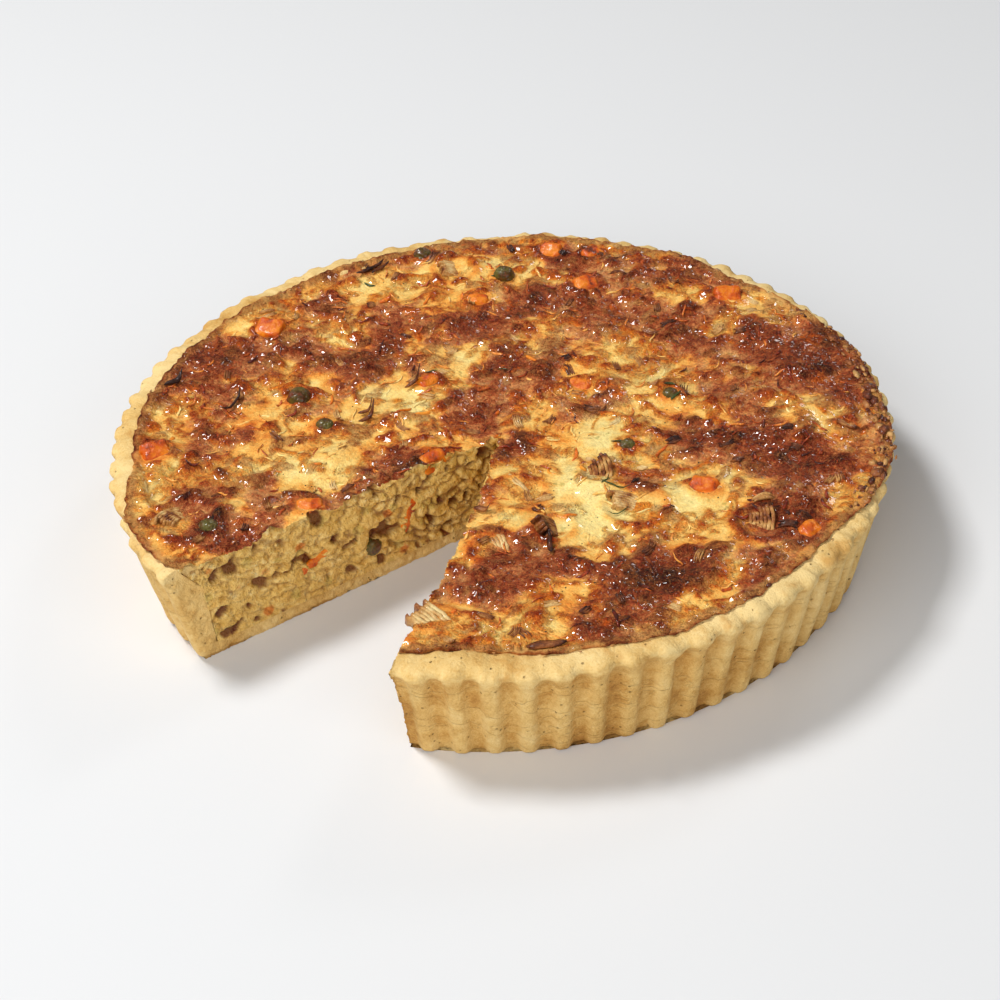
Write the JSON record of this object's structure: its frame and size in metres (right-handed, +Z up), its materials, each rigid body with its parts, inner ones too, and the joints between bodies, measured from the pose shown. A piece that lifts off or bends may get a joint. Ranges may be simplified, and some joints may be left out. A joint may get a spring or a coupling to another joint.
{
  "type": "vegetable quiche",
  "caption": "Round vegetable quiche in a fluted shortcrust shell, browned on top, with peas, carrot and leek baked in and one wedge-shaped portion cut out",
  "frame": {"origin": "centre of the round flat underside, on the surface it stands on", "axes": "+Z up; -Y points along the middle of the missing portion, out through the rim; +X to the right seen from there"},
  "size_m": [0.2799, 0.2738, 0.0467],
  "materials": {
    "pastry": "pale golden baked shortcrust, matt and finely grained",
    "custard": "browned cheese and egg custard, wrinkled, with an oily sheen; pale and curdled where cut",
    "pea": "olive green, shrivelled and browned by the oven",
    "carrot": "cooked orange with browned edges",
    "leek": "pale straw to green layers with browned edges"
  },
  "bodies": {
    "root": {"crust": "pastry", "filling": "custard", "pea_1": "pea", "pea_2": "pea", "pea_3": "pea", "pea_4": "pea", "pea_5": "pea", "pea_6": "pea", "pea_7": "pea", "cut_pea_1": "pea", "cut_pea_2": "pea", "carrot_1": "carrot", "carrot_2": "carrot", "carrot_3": "carrot", "carrot_4": "carrot", "carrot_5": "carrot", "carrot_6": "carrot", "carrot_7": "carrot", "carrot_8": "carrot", "carrot_9": "carrot", "carrot_10": "carrot", "carrot_11": "carrot", "carrot_12": "carrot", "carrot_13": "carrot", "carrot_stick_1": "carrot", "carrot_stick_2": "carrot", "carrot_stick_3": "carrot", "carrot_stick_4": "carrot", "leek_1": "leek", "leek_2": "leek", "leek_3": "leek", "leek_4": "leek", "leek_5": "leek", "leek_6": "leek", "leek_7": "leek", "leek_8": "leek", "leek_9": "leek"}
  },
  "joints": []
}
